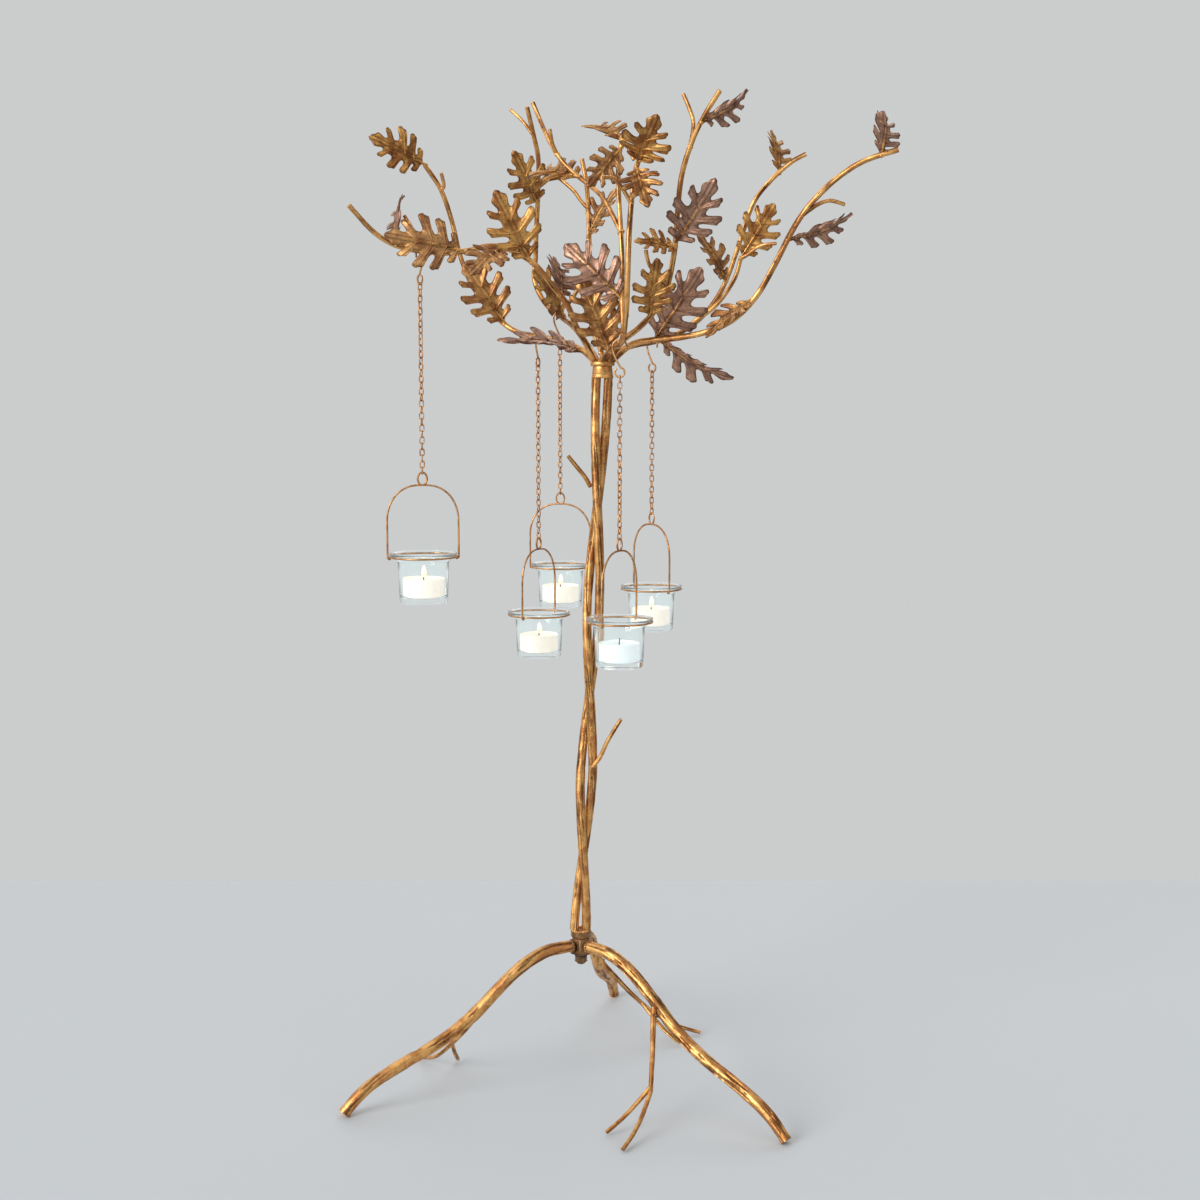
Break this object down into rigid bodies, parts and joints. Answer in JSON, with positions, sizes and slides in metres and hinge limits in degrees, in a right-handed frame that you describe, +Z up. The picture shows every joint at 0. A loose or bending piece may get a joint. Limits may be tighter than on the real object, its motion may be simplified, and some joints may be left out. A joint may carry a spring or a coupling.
{
  "type": "tree candelabra with hanging tealight holders",
  "caption": "Tall tree-shaped candelabra: root legs, twisted twin trunk, bent arms with oak leaves, and chains that carry glass tealight cups.",
  "frame": {"origin": "on the floor, at the middle of the whole stand in plan; the hub axis stands to the left of it and in front of it", "axes": "+Z up, +X to the right and +Y away from a viewer in front"},
  "size_m": [0.4965, 0.3904, 0.9234],
  "materials": {
    "bark_rod": "antique brass lacquer over forged iron rod, dark in the grooves, satin",
    "leaf_sheet": "antique brass lacquer over pressed sheet, dark veins and edges, satin",
    "hanger_wire": "copper gold lacquered wire, satin",
    "fixings": "plain turned brass, slightly dull",
    "rubber": "matt black",
    "clear_glass": "clear pressed glass, faintly aqua in its thick base",
    "wax": "white wax in a thin clear cup, stands in for a tealight"
  },
  "bodies": {
    "stand": {"hub": "bark_rod", "hub_washer": "rubber", "hub_nut": "fixings", "trunk_stud": "fixings", "foot_plug": "bark_rod", "strand_left": "bark_rod", "strand_right": "bark_rod", "trunk_twigs": "bark_rod", "ferrule": "bark_rod", "crown_collar": "bark_rod", "leg_left": "bark_rod", "leg_right": "bark_rod", "leg_back": "bark_rod", "side_root_left": "bark_rod", "side_root_right": "bark_rod", "side_root_back": "bark_rod", "arm_front_left": "bark_rod", "arm_left": "bark_rod", "arm_back_left": "bark_rod", "arm_back": "bark_rod", "arm_back_right": "bark_rod", "arm_right": "bark_rod", "arm_front_right": "bark_rod", "arm_front": "bark_rod", "arm_front_inner": "bark_rod", "arm_back_right_inner": "bark_rod", "arm_middle_rear": "bark_rod", "leaves_left": "leaf_sheet", "leaves_middle": "leaf_sheet", "leaves_right": "leaf_sheet"},
    "hook_1": {"hook_1": "hanger_wire"},
    "chain_1": {"chain_1": "hanger_wire"},
    "bail_1": {"bail_1": "hanger_wire"},
    "ring_1": {"ring_1": "hanger_wire"},
    "glass_1": {"glass_1": "clear_glass"},
    "tealight_1": {"tealight_1": "wax"},
    "hook_2": {"hook_2": "hanger_wire"},
    "chain_2": {"chain_2": "hanger_wire"},
    "bail_2": {"bail_2": "hanger_wire"},
    "ring_2": {"ring_2": "hanger_wire"},
    "glass_2": {"glass_2": "clear_glass"},
    "tealight_2": {"tealight_2": "wax"},
    "hook_3": {"hook_3": "hanger_wire"},
    "chain_3": {"chain_3": "hanger_wire"},
    "bail_3": {"bail_3": "hanger_wire"},
    "ring_3": {"ring_3": "hanger_wire"},
    "glass_3": {"glass_3": "clear_glass"},
    "tealight_3": {"tealight_3": "wax"},
    "hook_4": {"hook_4": "hanger_wire"},
    "chain_4": {"chain_4": "hanger_wire"},
    "bail_4": {"bail_4": "hanger_wire"},
    "ring_4": {"ring_4": "hanger_wire"},
    "glass_4": {"glass_4": "clear_glass"},
    "tealight_4": {"tealight_4": "wax"},
    "hook_5": {"hook_5": "hanger_wire"},
    "chain_5": {"chain_5": "hanger_wire"},
    "bail_5": {"bail_5": "hanger_wire"},
    "ring_5": {"ring_5": "hanger_wire"},
    "glass_5": {"glass_5": "clear_glass"},
    "tealight_5": {"tealight_5": "wax"}
  },
  "joints": [
    {"name": "hook_1_rock", "type": "hinge", "parent": "stand", "child": "hook_1", "pos_m": [-0.1697, -0.0887, 0.768], "axis": [-0.9939, -0.1104, 0], "range_deg": [-12, 8]},
    {"name": "chain_1_swing", "type": "hinge", "parent": "hook_1", "child": "chain_1", "pos_m": [-0.1697, -0.0887, 0.73928], "axis": [-0.5736, 0.8192, 0], "range_deg": [-16, 16]},
    {"name": "bail_1_swing", "type": "hinge", "parent": "chain_1", "child": "bail_1", "pos_m": [-0.1697, -0.0887, 0.57688], "axis": [0.9848, 0.1736, 0], "range_deg": [-18, 18]},
    {"name": "ring_1_tip", "type": "hinge", "parent": "bail_1", "child": "ring_1", "pos_m": [-0.1697, -0.0887, 0.50288], "axis": [0.9848, 0.1736, 0], "range_deg": [-8, 8]},
    {"name": "glass_1_lift", "type": "slide", "parent": "ring_1", "child": "glass_1", "axis": [0, 0, 1], "range_m": [0, 0.028]},
    {"name": "tealight_1_lift", "type": "slide", "parent": "glass_1", "child": "tealight_1", "axis": [0, 0, 1], "range_m": [0, 0.041]},
    {"name": "hook_2_rock", "type": "hinge", "parent": "stand", "child": "hook_2", "pos_m": [-0.0727, 0.0453, 0.699], "axis": [-0.6897, 0.7241, 0], "range_deg": [-5, 8]},
    {"name": "chain_2_swing", "type": "hinge", "parent": "hook_2", "child": "chain_2", "pos_m": [-0.0727, 0.0453, 0.67052], "axis": [0.342, 0.9397, 0], "range_deg": [-6, 10]},
    {"name": "bail_2_swing", "type": "hinge", "parent": "chain_2", "child": "bail_2", "pos_m": [-0.0727, 0.0453, 0.50812], "axis": [0.4695, 0.8829, 0], "range_deg": [-8, 12]},
    {"name": "ring_2_tip", "type": "hinge", "parent": "bail_2", "child": "ring_2", "pos_m": [-0.0727, 0.0453, 0.43412], "axis": [0.4695, 0.8829, 0], "range_deg": [-8, 8]},
    {"name": "glass_2_lift", "type": "slide", "parent": "ring_2", "child": "glass_2", "axis": [0, 0, 1], "range_m": [0, 0.028]},
    {"name": "tealight_2_lift", "type": "slide", "parent": "glass_2", "child": "tealight_2", "axis": [0, 0, 1], "range_m": [0, 0.041]},
    {"name": "hook_3_rock", "type": "hinge", "parent": "stand", "child": "hook_3", "pos_m": [-0.0537, 0.1253, 0.721], "axis": [-0.3408, 0.9401, 0], "range_deg": [-8, 8]},
    {"name": "chain_3_swing", "type": "hinge", "parent": "hook_3", "child": "chain_3", "pos_m": [-0.0537, 0.1253, 0.69273], "axis": [0.9397, 0.342, 0], "range_deg": [-5, 12]},
    {"name": "bail_3_swing", "type": "hinge", "parent": "chain_3", "child": "bail_3", "pos_m": [-0.0537, 0.1253, 0.54623], "axis": [0.9781, -0.2079, 0], "range_deg": [-8, 12]},
    {"name": "ring_3_tip", "type": "hinge", "parent": "bail_3", "child": "ring_3", "pos_m": [-0.0537, 0.1253, 0.47223], "axis": [0.9781, -0.2079, 0], "range_deg": [-8, 8]},
    {"name": "glass_3_lift", "type": "slide", "parent": "ring_3", "child": "glass_3", "axis": [0, 0, 1], "range_m": [0, 0.028]},
    {"name": "tealight_3_lift", "type": "slide", "parent": "glass_3", "child": "tealight_3", "axis": [0, 0, 1], "range_m": [0, 0.041]},
    {"name": "hook_4_rock", "type": "hinge", "parent": "stand", "child": "hook_4", "pos_m": [0.0033, -0.0847, 0.688], "axis": [0.2676, -0.9635, 0], "range_deg": [-8, 8]},
    {"name": "chain_4_swing", "type": "hinge", "parent": "hook_4", "child": "chain_4", "pos_m": [0.0033, -0.0847, 0.65974], "axis": [0.9848, -0.1736, 0], "range_deg": [-12, 4]},
    {"name": "bail_4_swing", "type": "hinge", "parent": "chain_4", "child": "bail_4", "pos_m": [0.0033, -0.0847, 0.51854], "axis": [0.5, 0.866, 0], "range_deg": [-14, 14]},
    {"name": "ring_4_tip", "type": "hinge", "parent": "bail_4", "child": "ring_4", "pos_m": [0.0033, -0.0847, 0.44454], "axis": [0.5, 0.866, 0], "range_deg": [-8, 8]},
    {"name": "glass_4_lift", "type": "slide", "parent": "ring_4", "child": "glass_4", "axis": [0, 0, 1], "range_m": [0, 0.028]},
    {"name": "tealight_4_lift", "type": "slide", "parent": "glass_4", "child": "tealight_4", "axis": [0, 0, 1], "range_m": [0, 0.041]},
    {"name": "hook_5_rock", "type": "hinge", "parent": "stand", "child": "hook_5", "pos_m": [0.0363, 0.0753, 0.694], "axis": [0.5358, 0.8443, 0], "range_deg": [-8, 8]},
    {"name": "chain_5_swing", "type": "hinge", "parent": "hook_5", "child": "chain_5", "pos_m": [0.0363, 0.0753, 0.66551], "axis": [0.766, -0.6428, 0], "range_deg": [-5, 10]},
    {"name": "bail_5_swing", "type": "hinge", "parent": "chain_5", "child": "bail_5", "pos_m": [0.0363, 0.0753, 0.52961], "axis": [0.5299, -0.848, 0], "range_deg": [-8, 12]},
    {"name": "ring_5_tip", "type": "hinge", "parent": "bail_5", "child": "ring_5", "pos_m": [0.0363, 0.0753, 0.45561], "axis": [0.5299, -0.848, 0], "range_deg": [-8, 8]},
    {"name": "glass_5_lift", "type": "slide", "parent": "ring_5", "child": "glass_5", "axis": [0, 0, 1], "range_m": [0, 0.028]},
    {"name": "tealight_5_lift", "type": "slide", "parent": "glass_5", "child": "tealight_5", "axis": [0, 0, 1], "range_m": [0, 0.041]}
  ]
}
